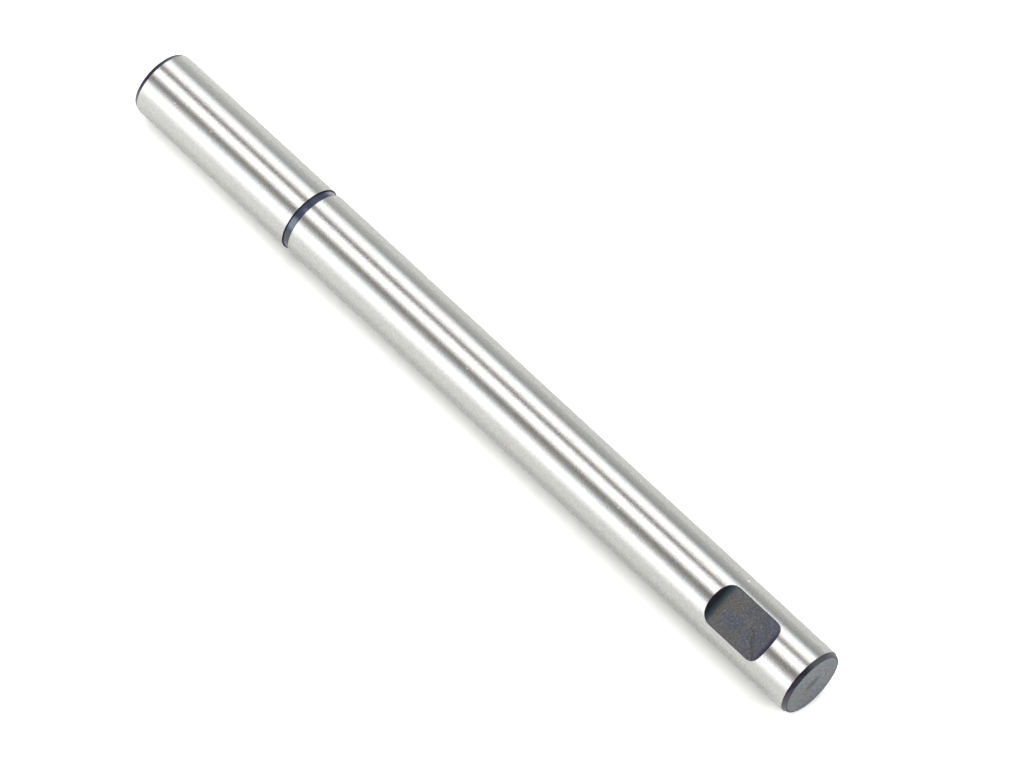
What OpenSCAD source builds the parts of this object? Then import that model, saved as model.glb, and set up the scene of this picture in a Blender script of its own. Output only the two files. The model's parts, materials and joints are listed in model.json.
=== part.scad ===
// Ground steel shaft: a round bar with a lead-in chamfer at each end, a groove
// for a retaining ring towards its foot and a milled locking flat towards its top.
// It stands on its foot with its axis on +Z, and the flat faces -Y.
// The ground surface is bright; the groove, the flat and the ends stay dark.

/* [Bar] */
// Diameter of the ground surface
shaft_d = 10; // [6:0.1:20]
// Length over the two end faces
shaft_len = 126.4; // [90:0.1:200]

/* [End chamfers] */
// Length of each chamfer along the shaft
chamfer_len = 0.65; // [0.3:0.05:2]
// Depth of each chamfer below the ground surface, at the end face
chamfer_depth = 0.3; // [0.1:0.05:1]

/* [Ring groove] */
// Distance from the foot to the lower wall of the groove
groove_from_foot = 30.1; // [8:0.1:60]
// Width of the groove between its walls
groove_w = 1.2; // [0.8:0.05:2.5]
// Depth of the groove below the ground surface
groove_depth = 0.2; // [0.1:0.05:0.8]

/* [Locking flat] */
// Distance from the top face to the middle of the flat
flat_from_top = 11.2; // [8:0.1:30]
// Length of the level floor between the curves at its two ends
flat_floor_len = 6.8; // [3:0.1:10]
// Depth of the floor below the ground surface
flat_depth = 1.1; // [0.4:0.05:2.5]
// Radius of the cutter that ran across the shaft, left at each end of the floor
cutter_r = 1.9; // [1:0.05:3]

/* [Hidden] */
$fn = 128;
// How far a cutter runs out past the bar, so that no skin is left
run_out = 1;
shaft_r = shaft_d / 2;
end_face_r = shaft_r - chamfer_depth;
groove_floor_r = shaft_r - groove_depth;
flat_floor_r = shaft_r - flat_depth;
flat_middle_z = shaft_len - flat_from_top;

// Turned bar: half its section, spun about the axis
module turned_bar() {
    rotate_extrude()
        polygon([
            [0, 0],
            [end_face_r, 0],
            [shaft_r, chamfer_len],
            [shaft_r, shaft_len - chamfer_len],
            [end_face_r, shaft_len],
            [0, shaft_len]
        ]);
}

// What the grooving tool takes away: a square-cornered ring
module groove_cut() {
    rotate_extrude()
        translate([groove_floor_r, groove_from_foot])
            square([groove_depth + run_out, groove_w]);
}

// Side view of the milled slot, with x outwards from the floor and y up the shaft:
// level floor, a cutter radius at each end, then straight walls
module slot_side_view() {
    slot_depth = max(flat_depth, cutter_r) + run_out;
    translate([0, -flat_floor_len / 2])
        square([slot_depth, flat_floor_len]);
    translate([cutter_r, -flat_floor_len / 2 - cutter_r])
        square([slot_depth - cutter_r, flat_floor_len + 2 * cutter_r]);
    for (end = [-1, 1])
        translate([cutter_r, end * flat_floor_len / 2])
            circle(r = cutter_r);
}

// What the milling cutter takes away on its way across the shaft
module flat_cut() {
    slot_w = shaft_d + 2 * run_out;
    translate([0, -flat_floor_r, flat_middle_z])
        rotate([0, 0, -90])
            rotate([90, 0, 0])
                translate([0, 0, -slot_w / 2])
                    linear_extrude(slot_w)
                        slot_side_view();
}

module shaft() {
    difference() {
        color("silver")
            turned_bar();
        color("dimgray")
            groove_cut();
        color("dimgray")
            flat_cut();
    }
}

shaft();
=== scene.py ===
import json
import math

import bpy
import numpy as np
from mathutils import Matrix, Vector


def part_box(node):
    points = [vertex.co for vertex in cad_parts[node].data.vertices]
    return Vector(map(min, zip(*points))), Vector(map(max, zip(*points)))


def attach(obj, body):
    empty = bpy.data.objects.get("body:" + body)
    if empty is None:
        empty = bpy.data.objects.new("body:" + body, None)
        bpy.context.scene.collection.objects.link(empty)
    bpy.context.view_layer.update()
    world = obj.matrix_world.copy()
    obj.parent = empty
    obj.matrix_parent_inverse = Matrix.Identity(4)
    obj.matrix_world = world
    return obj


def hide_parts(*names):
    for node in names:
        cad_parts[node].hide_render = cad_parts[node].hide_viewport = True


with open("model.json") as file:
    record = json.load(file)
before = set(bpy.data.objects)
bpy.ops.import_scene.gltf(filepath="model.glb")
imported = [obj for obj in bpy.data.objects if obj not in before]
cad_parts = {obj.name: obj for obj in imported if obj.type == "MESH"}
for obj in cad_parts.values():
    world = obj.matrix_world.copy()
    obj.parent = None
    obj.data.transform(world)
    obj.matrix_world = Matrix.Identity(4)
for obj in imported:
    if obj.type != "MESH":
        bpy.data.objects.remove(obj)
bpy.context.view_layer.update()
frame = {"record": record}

# Turned bar: one solid length of steel, turned with a lead-in chamfer at each end and a square
# groove for a retaining ring. Its outline is spun about the axis, run by run. Every corner is
# broken by a hair, and each run keeps its own normals, so that the corners catch the light.
mm = 0.001
low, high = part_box("shaft")
mounts = {mount["name"]: mount for mount in frame["record"]["mounts"]}
bar_r = mounts["upper_journal"]["dims"]["r_mm"] * mm
bar_len = high.z - low.z
chamfer_len, chamfer_depth = 0.65 * mm, 0.3 * mm
end_r = bar_r - chamfer_depth
groove_middle = mounts["ring_groove"]["pos_m"][2]
groove_half_width, groove_depth = 0.6 * mm, 0.2 * mm
groove_low, groove_high = groove_middle - groove_half_width, groove_middle + groove_half_width
groove_r = bar_r - groove_depth
facing_pip_r, facing_pip_depth = 0.3 * mm, 0.04 * mm
edge_break, groove_break = 0.025 * mm, 0.02 * mm

GROUND, BLACKENED, MILLED, FACED = range(4)
columns = 360
points, normals, faces, finishes = [], [], [], []


def add_point(place, normal):
    points.append(tuple(place))
    normals.append(tuple(normal))
    return len(points) - 1


def around(turn, radius, height):
    """A place round the bar; the turn is 0 at -Y, in the middle of the flat, and grows towards +X."""
    return radius * math.sin(turn), -radius * math.cos(turn), height


def add_ring(radius, height, slope):
    """A ring of points; slope is the outward normal, as (away from the axis, up the axis)."""
    turns = [2 * math.pi * column / columns for column in range(columns)]
    return [add_point(around(t, radius, height), around(t, slope[0], slope[1])) for t in turns]


def add_band(ring_a, ring_b, finish, left_out=()):
    for here in range(columns):
        if here not in left_out:
            there = (here + 1) % columns
            faces.append((ring_a[here], ring_a[there], ring_b[there], ring_b[here]))
            finishes.append(finish)


# The ground surface leaves a window open round the flat.
flat_middle = mounts["locking_flat"]["pos_m"][2]
window_rows, window_half_len, window_half_columns = 40, 6 * mm, 45
window_heights = np.linspace(flat_middle - window_half_len, flat_middle + window_half_len, window_rows + 1)
window_columns = [column % columns for column in range(-window_half_columns, window_half_columns)]
journal_pitch = 1.5 * mm
rounding = 1e-9

# Each corner's radius and height, how far it is broken, and the finish of the run after it.
outline = [
    ((0, facing_pip_depth), edge_break, FACED),
    ((facing_pip_r, 0), edge_break, FACED),
    ((end_r, 0), edge_break, BLACKENED),
    ((bar_r, chamfer_len), edge_break, GROUND),
    ((bar_r, groove_low), groove_break, BLACKENED),
    ((groove_r, groove_low), groove_break, BLACKENED),
    ((groove_r, groove_high), groove_break, BLACKENED),
    ((bar_r, groove_high), groove_break, GROUND),
    ((bar_r, bar_len - chamfer_len), edge_break, BLACKENED),
    ((end_r, bar_len), edge_break, FACED),
    ((facing_pip_r, bar_len), edge_break, FACED),
    ((0, bar_len - facing_pip_depth), edge_break, None),
]
last_ring, last_finish, window_rings = None, FACED, []
for (start, start_break, finish), (end, end_break, _) in zip(outline, outline[1:]):
    start, end = np.array(start), np.array(end)
    along = (end - start) / np.linalg.norm(end - start)
    slope = (along[1], -along[0])
    first = start + along * start_break
    last = end - along * end_break
    steps = max(1, round(np.linalg.norm(last - first) / journal_pitch))
    stations = [first + (last - first) * step / steps for step in range(steps + 1)]
    if first[1] < flat_middle < last[1]:
        below = [p for p in stations if p[1] < window_heights[0] - journal_pitch / 3]
        above = [p for p in stations if p[1] > window_heights[-1] + journal_pitch / 3]
        stations = below + [np.array((bar_r, height)) for height in window_heights] + above
    for station in stations:
        new_ring = add_ring(station[0], station[1], slope)
        if last_ring is None:
            pole = add_point((0, 0, start[1]), (0, 0, -1))
            for here in range(columns):
                faces.append((pole, new_ring[(here + 1) % columns], new_ring[here]))
                finishes.append(FACED)
        else:
            on_corner = station is stations[0]
            in_window = bool(window_rings) and len(window_rings) <= window_rows
            add_band(last_ring, new_ring, min(finish, last_finish) if on_corner else finish,
                     window_columns if in_window else ())
        if window_heights[0] - rounding < station[1] < window_heights[-1] + rounding:
            window_rings.append(new_ring)
        last_ring = new_ring
    last_finish = finish
pole = add_point((0, 0, end[1]), (0, 0, 1))
for here in range(columns):
    faces.append((last_ring[here], last_ring[(here + 1) % columns], pole))
    finishes.append(FACED)

# Locking flat: a side milling cutter has run across the bar and left a level floor, with the
# cutter's own radius at each end of it. The mesh follows its curved outline on the bar: loops
# close in on it from the window in the ground surface, and go on over its edge down to the floor.
floor_r = -mounts["locking_flat"]["pos_m"][1]
floor_half_len = 3.4 * mm
cutter_r = 1.9 * mm
flat_break = 0.06 * mm
rim_loops, wall_loops = 8, 24
floor_core = 0.45  # the share of the window, from its middle, that is a plain lattice
halvings = 40


def cut_depth(up):
    """How far the milled surface is from the axis, and its normal, at a height from its middle."""
    past = max(0.0, abs(up) - floor_half_len)
    rise = math.sqrt(max(0.0, cutter_r ** 2 - past ** 2))
    normal = (0, -rise / cutter_r, -math.copysign(past / cutter_r, up))
    return floor_r + cutter_r - rise, normal


def on_bar(turn, up):
    return add_point(around(turn, bar_r, flat_middle + up), around(turn, 1, 0))


def on_cut(turn, up):
    depth, normal = cut_depth(up)
    return add_point((depth * math.tan(turn), -depth, flat_middle + up), normal)


def outline_share(turn, up):
    """The share of the way from the flat's middle to a place on the window where the bar begins."""
    inside, outside = floor_core, 1.0
    for _ in range(halvings):
        share = (inside + outside) / 2
        milled = (abs(up * share) < floor_half_len + cutter_r
                  and cut_depth(up * share)[0] < bar_r * math.cos(turn * share))
        inside, outside = (share, outside) if milled else (inside, share)
    return inside


width = 2 * window_half_columns
lattice = ([(0, column) for column in range(width)]
           + [(row, width) for row in range(window_rows)]
           + [(window_rows, column) for column in range(width, 0, -1)]
           + [(row, 0) for row in range(window_rows, 0, -1)])


def lattice_place(row, column):
    turn = 2 * math.pi * (column - window_half_columns) / columns
    return turn, window_heights[row] - flat_middle


rays = []
for row, column in lattice:
    turn, up = lattice_place(row, column)
    edge = outline_share(turn, up)
    hair = flat_break / math.hypot(bar_r * turn, up)
    shares = [1 + (edge + hair - 1) * loop / rim_loops for loop in range(1, rim_loops + 1)]
    walls = [edge + (floor_core - edge) * loop / wall_loops for loop in range(wall_loops + 1)]
    window_point = window_rings[row][(column - window_half_columns) % columns]
    rays.append([window_point]
                + [on_bar(turn * share, up * share) for share in shares]
                + [on_cut(turn * share, up * share) for share in walls])
for ray, next_ray in zip(rays, rays[1:] + rays[:1]):
    for loop in range(len(ray) - 1):
        faces.append((ray[loop], next_ray[loop], next_ray[loop + 1], ray[loop + 1]))
        finishes.append(GROUND if loop <= rim_loops else MILLED)
floor_points = {place: ray[-1] for place, ray in zip(lattice, rays)}
for row in range(1, window_rows):
    for column in range(1, width):
        turn, up = lattice_place(row, column)
        floor_points[row, column] = on_cut(turn * floor_core, up * floor_core)
for row in range(window_rows):
    for column in range(width):
        faces.append((floor_points[row, column], floor_points[row, column + 1],
                      floor_points[row + 1, column + 1], floor_points[row + 1, column]))
        finishes.append(MILLED)

used = sorted({point for face in faces for point in face})
renumbered = {point: number for number, point in enumerate(used)}
shaft_mesh = bpy.data.meshes.new("ground_shaft")
shaft_mesh.from_pydata([points[point] for point in used], [],
                       [tuple(renumbered[point] for point in face) for face in faces])
shaft_mesh.polygons.foreach_set("material_index", finishes)
shaft_mesh.polygons.foreach_set("use_smooth", [True] * len(faces))
shaft_mesh.normals_split_custom_set_from_vertices([normals[point] for point in used])
shaft = bpy.data.objects.new("ground_shaft", shaft_mesh)
bpy.context.scene.collection.objects.link(shaft)


# Ground finish: bare bright steel, slightly warm, ground round and round between centres. The
# wheel leaves fine marks round the bar, which draw each reflection out along it, and handling
# has left a few pinprick nicks.
class Wire:
    """One output in a shader tree. Sums and products with it add Math nodes."""

    def __init__(self, tree, socket=None):
        self.tree, self.socket = tree, socket

    def node(self, kind, settings=None, inputs=None, output=0):
        """Adds a node: its settings first, then the values or links of its sockets."""
        made = self.tree.nodes.new(kind)
        for name, value in (settings or {}).items():
            if name == "stops":
                ramp = made.color_ramp
                while len(ramp.elements) < len(value):
                    ramp.elements.new(0.5)
                for element, (position, color) in zip(ramp.elements, value):
                    element.position, element.color = position, (*color, 1)
            else:
                setattr(made, name, value)
        for name, value in (inputs or {}).items():
            if isinstance(value, Wire):
                self.tree.links.new(value.socket, made.inputs[name])
            else:
                made.inputs[name].default_value = value
        return Wire(self.tree, made.outputs[output] if made.outputs else None)

    def math(self, operation, *values):
        return self.node("ShaderNodeMath", {"operation": operation}, dict(enumerate(values)))

    def __add__(self, other):
        return self.math("ADD", self, other)

    def __radd__(self, other):
        return self.math("ADD", other, self)

    def __sub__(self, other):
        return self.math("SUBTRACT", self, other)

    def __rsub__(self, other):
        return self.math("SUBTRACT", other, self)

    def __mul__(self, other):
        return self.math("MULTIPLY", self, other)

    def __rmul__(self, other):
        return self.math("MULTIPLY", other, self)

    def __abs__(self):
        return self.math("ABSOLUTE", self)

    def place(self):
        """Where on its object a point of the surface is."""
        return self.node("ShaderNodeTexCoord", output="Object")

    def axes(self):
        """The x, y and z of this place."""
        return [self.node("ShaderNodeSeparateXYZ", {}, {"Vector": self}, axis) for axis in "XYZ"]

    def stretched(self, factors):
        """This place with its x, y and z each multiplied by a factor."""
        return self.node("ShaderNodeVectorMath", {"operation": "MULTIPLY"}, {0: self, 1: factors})

    def noise(self, scale, detail=2.0, roughness=0.5):
        """Soft noise over this place, from 0 to 1; scale is features per metre along x, y and z."""
        spread = self.node("ShaderNodeMapping", {}, {"Vector": self, "Scale": scale})
        return self.node("ShaderNodeTexNoise", {}, {
            "Vector": spread, "Scale": 1.0, "Detail": detail, "Roughness": roughness})

    def between(self, low_end, high_end):
        """0 below the low end, 1 above the high end, and smooth in between."""
        return self.node("ShaderNodeMapRange", {"interpolation_type": "SMOOTHSTEP"}, {
            "Value": self, "From Min": low_end, "From Max": high_end})

    def blend(self, color_a, color_b):
        """Colour a where this is 0, colour b where it is 1."""
        colors = [c if isinstance(c, Wire) else (*c, 1) for c in (color_a, color_b)]
        return self.node("ShaderNodeMix", {"data_type": "RGBA"}, {0: self, 6: colors[0], 7: colors[1]}, 2)

    def near(self, place, radius):
        """1 at a place, falling to 0 at a radius from it."""
        away = self.node("ShaderNodeVectorMath", {"operation": "DISTANCE"}, {0: self, 1: place}, "Value")
        return 1 - away.between(radius * 0.3, radius)


def new_material(name, *meshes):
    material = bpy.data.materials.new(name)
    material.use_nodes = True
    material.node_tree.nodes.clear()
    for mesh in meshes:
        mesh.materials.append(material)
    return Wire(material.node_tree)


def close_material(tree, shader, sockets):
    surface = tree.node(shader, {}, sockets)
    tree.node("ShaderNodeOutputMaterial", {}, {"Surface": surface})


light_steel = (0.602, 0.602, 0.583)
mid_steel = (0.563, 0.563, 0.546)
mark_steel = (0.47, 0.47, 0.455)
nick_with_painted_glint = (0.95, 0.95, 0.94)
mark_depth = 0.009 * mm
# Each nick's middle and radius are in millimetres.
nicks = [((0.596, -4.964, 6.04), 0.16), ((0.062, -5.0, 12.85), 0.17), ((-0.126, -4.998, 92.33), 0.15),
         ((-0.043, -5.0, 63.6), 0.14), ((-4.428, -2.322, 111.45), 0.32)]
tree = new_material("ground_steel", shaft_mesh)
place = tree.place()
wheel_marks = place.noise((1300, 1300, 2600), 3, 0.6)
fine_grain = place.noise((3600, 3600, 5200))
patches = place.noise((120, 120, 60))
nick_mask = sum(place.near([length * mm for length in middle], radius * mm) for middle, radius in nicks)
steel_color = patches.blend(light_steel, mid_steel)
steel_color = (wheel_marks * 0.3).blend(steel_color, mark_steel)
steel_color = (fine_grain.between(0.3, 0.7) * 0.6).blend(steel_color, mark_steel)
# The nicks are real marks; their near-white colour is a painted glint.
steel_color = nick_mask.blend(steel_color, nick_with_painted_glint)
wheel_bump = tree.node("ShaderNodeBump", {}, {
    "Height": wheel_marks * 0.65 + fine_grain * 1.15 - nick_mask * 0.6, "Distance": mark_depth})
close_material(tree, "ShaderNodeBsdfPrincipled", {
    "Base Color": steel_color, "Metallic": 1.0,
    "Roughness": 0.27 + (wheel_marks - 0.5) * 0.14 + nick_mask * 0.15,
    "Anisotropic": 0.6, "Anisotropic Rotation": 0.25, "Normal": wheel_bump})

# Blackened finish: the dark skin of the heat treatment, left where the grinding wheel didn't reach.
# Each chamfer goes from brown-black at the ground edge to slate at the end. The groove's floor is
# navy, with slate, grey and lilac towards its sides and a paler blue patch, all painted reflections
# of the soft boxes, and black painted into its corners as shade.
slate = (0.05, 0.058, 0.086)
brown_black = (0.034, 0.003, 0.014)
soot = (0.012, 0.012, 0.02)
foot_navy = (0.034, 0.032, 0.066)
side_grey = (0.092, 0.094, 0.104)
groove_blues = [(0.35, (0.02, 0.034, 0.06)), (0.5, (0.017, 0.025, 0.06)), (0.65, (0.032, 0.038, 0.09))]
slate_painted_reflection = (0.07, 0.078, 0.105)
lilac_painted_reflection = (0.34, 0.325, 0.38)
grey_painted_reflection = (0.18, 0.178, 0.2)
blue_painted_reflection = (0.17, 0.215, 0.28)
streak_lilac = (0.1, 0.1, 0.19)
painted_corner_shade = (0.004, 0.004, 0.007)
skin_depth = 0.004 * mm
tree = new_material("black_skin", shaft_mesh)
place = tree.place()
tint = place.noise((420, 420, 700), 3)
bloom = place.noise((1500, 1500, 1500))
across_bar, _, up_bar = place.axes()
from_end = tree.math("MINIMUM", up_bar, bar_len - up_bar)
chamfer_color = from_end.between(0.1 * mm, 0.55 * mm).blend(slate, brown_black)
burnt = (tint + (bloom - 0.5) * 0.4).between(0.45, 0.57)
chamfer_color = (burnt * 0.75).blend(chamfer_color, soot)
at_foot = 1 - up_bar.between(1 * mm, 2 * mm)
chamfer_color = (at_foot * 0.7).blend(chamfer_color, foot_navy)
aside = abs(across_bar - 0.8 * mm).between(1.6 * mm, 3.6 * mm)
chamfer_color = (aside * 0.7).blend(chamfer_color, side_grey)
groove_color = tree.node("ShaderNodeValToRGB", {"stops": groove_blues}, {"Fac": tint})
# Slate, lilac and grey towards the groove's sides are painted reflections of the soft boxes.
groove_color = across_bar.between(1.9 * mm, 3.4 * mm).blend(groove_color, slate_painted_reflection)
groove_color = (-4 * mm - across_bar).between(0, 0.8 * mm).blend(groove_color, lilac_painted_reflection)
groove_color = (across_bar - 4 * mm).between(0, 0.8 * mm).blend(groove_color, grey_painted_reflection)
# The paler blue patch is a painted reflection of the left soft box.
painted_reflection_patch = place.near((1.65 * mm, -4.5 * mm, groove_middle), 1.3 * mm)
groove_color = painted_reflection_patch.blend(groove_color, blue_painted_reflection)
lilac_streak = place.near((-0.83 * mm, -4.73 * mm, groove_middle + 0.27 * mm), 0.55 * mm)
groove_color = (lilac_streak * 0.8).blend(groove_color, streak_lilac)
# Black in the groove's two corners is painted shade.
off_corner = (up_bar - groove_low).between(0.05 * mm, 0.24 * mm)
off_corner = off_corner * (groove_high - up_bar).between(-0.05 * mm, 0.2 * mm)
groove_color = off_corner.blend(painted_corner_shade, groove_color)
in_groove = 1 - abs(up_bar - groove_middle).between(0.7 * mm, 0.9 * mm)
skin_color = in_groove.blend(chamfer_color, groove_color)
skin_bump = tree.node("ShaderNodeBump", {}, {"Height": bloom, "Distance": skin_depth})
close_material(tree, "ShaderNodeBsdfPrincipled", {
    "Base Color": skin_color, "Roughness": 0.38 + (bloom - 0.5) * 0.12, "IOR": 1.45,
    "Specular Tint": (0.9, 0.94, 1.0, 1), "Normal": skin_bump})

# Milled finish: the flat carries the same skin over the cutter's dull marks, so it is greyer and
# more matt. Blue, olive and brown tints cloud it, an olive trail runs along it, and a thin brown
# line slants in from its edge, with bluer skin past it. The curve at each end is painted darker as
# shade, and black at the lower one.
flat_tints = [(0.34, (0.085, 0.089, 0.122)), (0.45, (0.099, 0.096, 0.115)), (0.52, (0.106, 0.104, 0.106)),
              (0.6, (0.103, 0.106, 0.092)), (0.68, (0.12, 0.101, 0.086))]
past_slant_line_blue = (0.078, 0.082, 0.112)
trail_olive = (0.122, 0.112, 0.086)
slant_line_brown = (0.046, 0.042, 0.036)
dark_speck = (0.048, 0.049, 0.064)
light_speck = (0.2, 0.202, 0.216)
fleck_grey = (0.26, 0.25, 0.24)
side_black = (0.03, 0.024, 0.03)
shaded_curve_teal = (0.026, 0.048, 0.062)
shaded_curve_black = (0.004, 0.001, 0.006)
shaded_curve_navy = (0.03, 0.026, 0.075)
cutter_mark_depth = 0.006 * mm
slant_line_height, slant_line_lean = 116.94 * mm, 0.88
trail_side, trail_lean = 0.75 * mm, 0.11
tree = new_material("black_milled_flat", shaft_mesh)
place = tree.place()
tint = place.noise((450, 450, 450), 3)
speckle = place.noise((5200, 5200, 5200), 2, 0.7)
across_flat, _, up_flat = place.axes()
wander = (place.noise((700, 700, 700)) - 0.5) * (0.7 * mm)
# A thin brown line slants in from the flat's edge, with bluer skin past it.
past_slant_line = (up_flat - slant_line_height - across_flat * slant_line_lean) * 0.75 + wander
on_slant_line = 1 - abs(past_slant_line).between(0.04 * mm, 0.26 * mm)
on_slant_line = on_slant_line * across_flat.between(-1.0 * mm, 0.2 * mm)
off_trail = abs(across_flat + trail_side - (up_flat - flat_middle) * trail_lean + wander)
on_trail = 1 - off_trail.between(0.1 * mm, 0.6 * mm)
on_trail = on_trail * (1 - (up_flat - flat_middle).between(1.4 * mm, 2.2 * mm))
flat_color = tree.node("ShaderNodeValToRGB", {"stops": flat_tints}, {"Fac": tint})
flat_color = (past_slant_line.between(0, 0.4 * mm) * 0.6).blend(flat_color, past_slant_line_blue)
flat_color = (on_trail * 0.6).blend(flat_color, trail_olive)
flat_color = (on_slant_line * 0.8).blend(flat_color, slant_line_brown)
flat_color = ((1 - speckle.between(0.3, 0.5)) * 0.7).blend(flat_color, dark_speck)
flat_color = (speckle.between(0.5, 0.7) * 0.75).blend(flat_color, light_speck)
flecks = (place.near((-1.23 * mm, -floor_r, 117.37 * mm), 0.18 * mm)
          + place.near((0.19 * mm, -floor_r, 117.04 * mm), 0.15 * mm))
flat_color = (flecks * 0.5).blend(flat_color, fleck_grey)
near_side = abs(across_flat).between(2.97 * mm, 3.1 * mm)
flat_color = (near_side * 0.6).blend(flat_color, side_black)
# The end curves are painted darker as shade: teal then black at the lower one, navy at the upper one.
low_curve = flat_middle - up_flat - floor_half_len
flat_color = low_curve.between(0.2 * mm, 0.9 * mm).blend(flat_color, shaded_curve_teal)
flat_color = low_curve.between(0.78 * mm, 1.36 * mm).blend(flat_color, shaded_curve_black)
high_curve = up_flat - flat_middle - floor_half_len
flat_color = high_curve.between(0.75 * mm, 1.5 * mm).blend(flat_color, shaded_curve_navy)
flat_bump = tree.node("ShaderNodeBump", {}, {"Height": speckle, "Distance": cutter_mark_depth})
close_material(tree, "ShaderNodeBsdfPrincipled", {
    "Base Color": flat_color, "Roughness": 0.45 + (tint - 0.5) * 0.15, "IOR": 1.42,
    "Specular Tint": (0.88, 0.94, 1.0, 1), "Normal": flat_bump})

# Faced ends: the ends were faced off in the lathe and then blackened with the rest. The tool has
# left faint rings round the middle, where a tiny pip came away with a dark smear round it, and the
# skin is darkest in a thin line along the rim.
end_tints = [(0.35, (0.205, 0.252, 0.272)), (0.48, (0.224, 0.246, 0.268)), (0.56, (0.25, 0.25, 0.247)),
             (0.66, (0.25, 0.238, 0.285))]
teal_painted_highlight = (0.238, 0.31, 0.33)
far_side_lilac = (0.2, 0.206, 0.276)
dark_mottle = (0.14, 0.148, 0.156)
light_mottle = (0.38, 0.385, 0.395)
smear_dark = (0.09, 0.086, 0.096)
rim_dark = (0.035, 0.05, 0.066)
ring_pitch, ring_depth = 0.34 * mm, 0.002 * mm
tree = new_material("black_faced_end", shaft_mesh)
place = tree.place()
from_middle = tree.node("ShaderNodeVectorMath", {"operation": "LENGTH"}, {
    0: place.stretched((1, 1, 0))}, "Value")
rings = tree.math("SINE", from_middle * (2 * math.pi / ring_pitch))
tint = place.noise((600, 600, 600), 3)
mottle = place.noise((2200, 2200, 2200), 3, 0.65) + rings * 0.03
_, over_end, _ = place.axes()
end_color = tree.node("ShaderNodeValToRGB", {"stops": end_tints}, {"Fac": tint})
# Towards the rim on the flat's side the face is painted lighter teal, a painted highlight.
end_color = ((1 - over_end.between(-4.6 * mm, -2.4 * mm)) * 0.7).blend(end_color, teal_painted_highlight)
end_color = (over_end.between(2 * mm, 4.4 * mm) * 0.7).blend(end_color, far_side_lilac)
end_color = ((1 - mottle.between(0.3, 0.5)) * 0.8).blend(end_color, dark_mottle)
end_color = (mottle.between(0.5, 0.7) * 0.8).blend(end_color, light_mottle)
smear = place.stretched((0.55, 1, 1)).near((-0.08 * mm, -0.31 * mm, bar_len), 1.1 * mm)
end_color = (smear * 0.6).blend(end_color, smear_dark)
rim = from_middle.between(end_r - 0.27 * mm, end_r - 0.1 * mm)
end_color = (rim * 0.9).blend(end_color, rim_dark)
ring_bump = tree.node("ShaderNodeBump", {}, {"Height": rings * 0.5 + tint, "Distance": ring_depth})
close_material(tree, "ShaderNodeBsdfPrincipled", {
    "Base Color": end_color, "Roughness": 0.6, "IOR": 1.3, "Normal": ring_bump})

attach(shaft, "root")
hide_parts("shaft")

# Tabletop: the smooth white surface that the shaft lies along. The shaft stands on its end in this
# frame, so the surface stands upright and touches it from behind. It is clear from its own back, and
# to reflections right under the bar, so that it never hides the shaft or blackens its far side.
table_turn = math.radians(25.2)
table_out = Vector((-math.sin(table_turn), -math.cos(table_turn), 0))
table_along = Vector((-table_out.y, table_out.x, 0))
table_half_width, table_low, table_high = 0.1, -0.05, 0.18
paper_white, blue_share = 0.8, 0.985
table_mesh = bpy.data.meshes.new("tabletop")
table_mesh.from_pydata(
    [table_along * side * table_half_width - table_out * bar_r + Vector((0, 0, height))
     for side, height in ((-1, table_low), (1, table_low), (1, table_high), (-1, table_high))],
    [], [(0, 1, 2, 3)])
tabletop = bpy.data.objects.new("tabletop", table_mesh)
bpy.context.scene.collection.objects.link(tabletop)
tree = new_material("table_white", table_mesh)
place = tree.place()
beside = tree.node("ShaderNodeVectorMath", {"operation": "DOT_PRODUCT"}, {0: place, 1: table_along}, "Value")
_, _, up_table = place.axes()
# The white is painted brighter away from the bar, past the upper end and at the foot, so the fall of the
# bar's shadow is partly painted light.
painted_light_off_bar = abs(beside).between(2.8 * mm, 6.5 * mm)
painted_light_past_top = up_table.between(bar_len - 5 * mm, bar_len + 1 * mm)
painted_light_at_foot = 1 - up_table.between(0, 30 * mm)
seen_white = 1.23 + painted_light_off_bar * 0.28 + painted_light_past_top * 0.9 + painted_light_at_foot * 0.14
mirrored_white = 1.02 + beside.between(4 * mm, 15 * mm) * 0.15 + painted_light_past_top * 0.4
ray_kinds = ("Is Camera Ray", "Is Glossy Ray", "Is Transmission Ray")
by_camera, by_gloss, by_glass = (tree.node("ShaderNodeLightPath", output=ray) for ray in ray_kinds)
whiteness = (paper_white + by_camera * (seen_white - paper_white)
             + (by_gloss + by_glass) * (mirrored_white - paper_white))
paint = tree.node("ShaderNodeBsdfDiffuse", {}, {"Color": tree.node(
    "ShaderNodeCombineXYZ", {}, {"X": whiteness, "Y": whiteness, "Z": whiteness * blue_share})})
clear = tree.node("ShaderNodeBsdfTransparent")
from_back = tree.node("ShaderNodeNewGeometry", output="Backfacing")
under_bar = by_gloss * (1 - abs(beside).between(1 * mm, 2.2 * mm))
close_material(tree, "ShaderNodeMixShader", {
    0: tree.math("MAXIMUM", from_back, under_bar), 1: paint, 2: clear})

# Light tent: a white cloth wall stands round the front of the shaft, with three soft boxes shining
# through it and dim gaps between them. Dark cloths close it above, round the lens, and below the
# foot, and two more soft boxes light the upper end from above.
plain, cool, warm, rosy = (1, 1, 1), (0.97, 1, 1.04), (1.05, 1, 0.97), (1.06, 0.98, 1)
tent_r, tent_low, tent_high = 0.4, -0.42, 0.2
lens_glow, foot_glow, box_glow = 0.08, 0.1, 3
lean_pivot, lean_down, lean_up = -0.1, 0.1, 0.15
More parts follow.
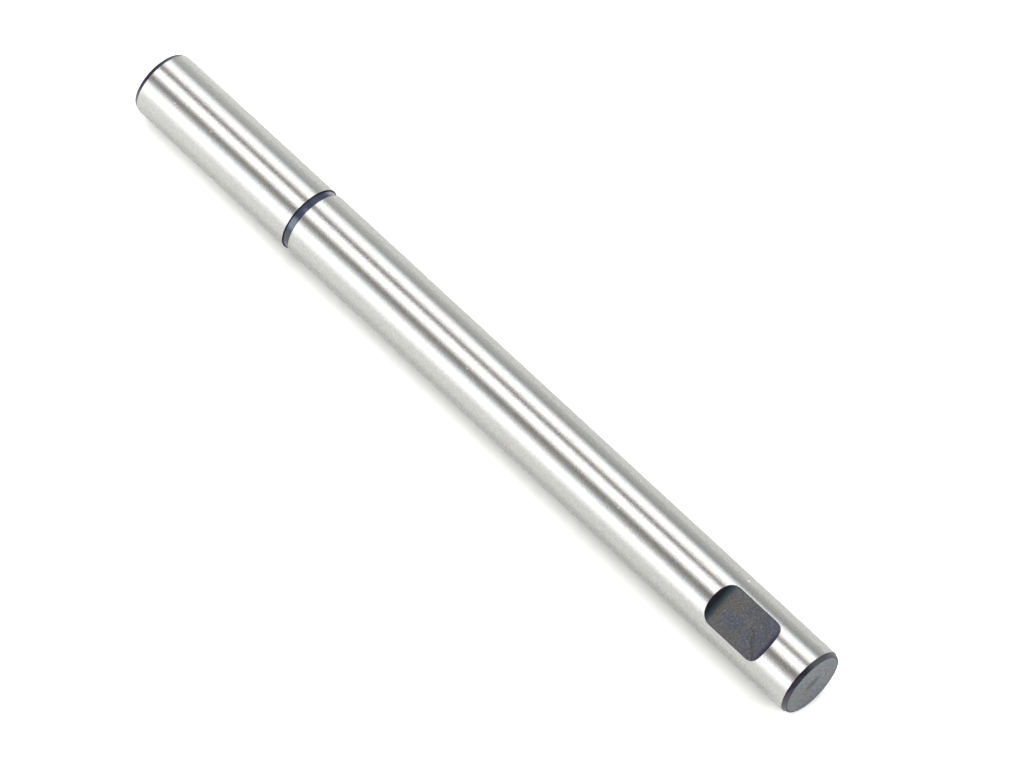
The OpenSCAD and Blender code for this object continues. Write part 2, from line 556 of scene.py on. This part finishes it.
# A cloth's stops: the turn in degrees from -Y towards -X, the brightness there, where 1 is white,
# its tint, and how far an edge there leans, in degrees for each metre up.
tent_wall = [
    (-72, 1.35, plain, 0), (-65, 1.45, plain, 0), (-60, 1.7, plain, 0), (-56, 2.0, plain, 0),
    (-50, 2.4, plain, 0), (-36, 2.4, plain, -30), (-30, 2.0, cool, -45), (-26, 1.55, cool, -50),
    (-22, 0.85, cool, -50), (-17, 0.46, plain, -45), (-11, 0.4, warm, -40), (-4, 0.2, warm, -25),
    (0, 0.42, warm, -8), (3, 1.08, warm, -8), (6, 1.52, warm, -10), (11, 2.4, plain, -5),
    (25, 2.4, plain, 0), (30, 1.85, cool, 0), (33, 0.65, cool, 0), (36, 0.14, rosy, 0),
    (43, 0.28, rosy, 0), (47, 1.2, rosy, -15), (51, 1.9, warm, -15), (58, 2.2, plain, 0),
    (68, 2.2, plain, 0), (73, 1.75, cool, -10), (78, 1.25, cool, -20), (83, 0.6, cool, -25),
    (87, 0.38, plain, -10), (92, 0.6, plain, 35), (98, 0.68, plain, 60), (104, 0.74, plain, 80),
    (115, 0.8, plain, 100)]
tent_heights = [tent_low, -0.2, -0.15, -0.1, -0.05, 0, 0.05, tent_high]


def tent_cloth(name, rings_of_cloth, stops, step):
    """A cloth hung through rings of (radius, height), with its glow given at a few turns."""
    turns = range(stops[0][0], stops[-1][0] + 1, step)
    corners, colors = [], []
    for radius, height in rings_of_cloth:
        leaning = min(lean_up, max(-lean_down, height - lean_pivot))
        stop_turns = [turn + lean * leaning for turn, _, _, lean in stops]
        glows = [np.interp(turns, stop_turns, [level * tint[part] for _, level, tint, _ in stops])
                 for part in range(3)]
        for turn, *glow in zip(turns, *glows):
            corners.append(around(-math.radians(turn), radius, height))
            colors.append((*glow, 1))
    cells = [(corner, corner + 1, corner + 1 + len(turns), corner + len(turns))
             for corner in range((len(rings_of_cloth) - 1) * len(turns)) if (corner + 1) % len(turns)]
    mesh = bpy.data.meshes.new(name)
    mesh.from_pydata(corners, [], cells)
    mesh.attributes.new("glow", "FLOAT_COLOR", "POINT").data.foreach_set("color", np.ravel(colors))
    cloth = bpy.data.objects.new(name, mesh)
    bpy.context.scene.collection.objects.link(cloth)
    cloth.visible_camera = False
    return mesh


cloths = [
    tent_cloth("tent_wall", [(tent_r, height) for height in tent_heights], tent_wall, 1),
    tent_cloth("lens_cloth", [(tent_r, tent_high), (0.35, 0.35), (0.2, 0.5), (0.01, 0.55)],
               [(0, lens_glow, plain, 0), (360, lens_glow, plain, 0)], 10),
    tent_cloth("foot_cloth", [(0.01, -0.7), (0.25, -0.62), (tent_r, tent_low)],
               [(0, foot_glow, plain, 0), (360, foot_glow, plain, 0)], 10)]
for side, first_turn, last_turn in (("left", -110, -45), ("right", 50, 110)):
    cloths.append(tent_cloth("top_box_" + side, [(0.33, 0.34), (0.12, 0.5)],
                             [(first_turn, box_glow, plain, 0), (last_turn, box_glow, plain, 0)], 5))
tree = new_material("lit_cloth", *cloths)
glow = tree.node("ShaderNodeAttribute", {"attribute_name": "glow"})
close_material(tree, "ShaderNodeEmission", {"Color": glow})

# Room: a plain white room round the tent. It is white to the camera and in the steel, and lights
# the shaft a little less than that.
room_white, room_light = (1, 1, 1), (0.6, 0.6, 0.6)
room = bpy.data.worlds.new("white_room")
room.use_nodes = True
room.node_tree.nodes.clear()
tree = Wire(room.node_tree)
by_camera, by_gloss, by_glass = (tree.node("ShaderNodeLightPath", output=ray) for ray in ray_kinds)
seen = tree.math("MAXIMUM", tree.math("MAXIMUM", by_camera, by_gloss), by_glass)
sky = tree.node("ShaderNodeBackground", {}, {"Color": seen.blend(room_light, room_white)})
tree.node("ShaderNodeOutputWorld", {}, {"Surface": sky})
bpy.context.scene.world = room

# Camera: a long lens, close to the side of the flat and a little above the upper end, rolled so
# that the shaft runs down the picture from the upper left.
camera_place = Vector((-0.05009, -0.73424, 0.35988))
look = Vector((0.0605, 0.92748, -0.36895)).normalized()
picture_right = look.cross(Vector((-0.74921, -0.20205, -0.63076))).normalized()
picture_up = picture_right.cross(look)
camera_data = bpy.data.cameras.new("camera")
camera_data.sensor_width, camera_data.lens = 36, 210.938
camera_data.clip_start, camera_data.clip_end = 0.01, 20
camera = bpy.data.objects.new("camera", camera_data)
turned = Matrix((picture_right, picture_up, -look)).transposed()
camera.matrix_world = Matrix.Translation(camera_place) @ turned.to_4x4()
bpy.context.scene.collection.objects.link(camera)
bpy.context.scene.camera = camera
bpy.context.scene.view_settings.view_transform = "Standard"

bpy.context.view_layer.update()
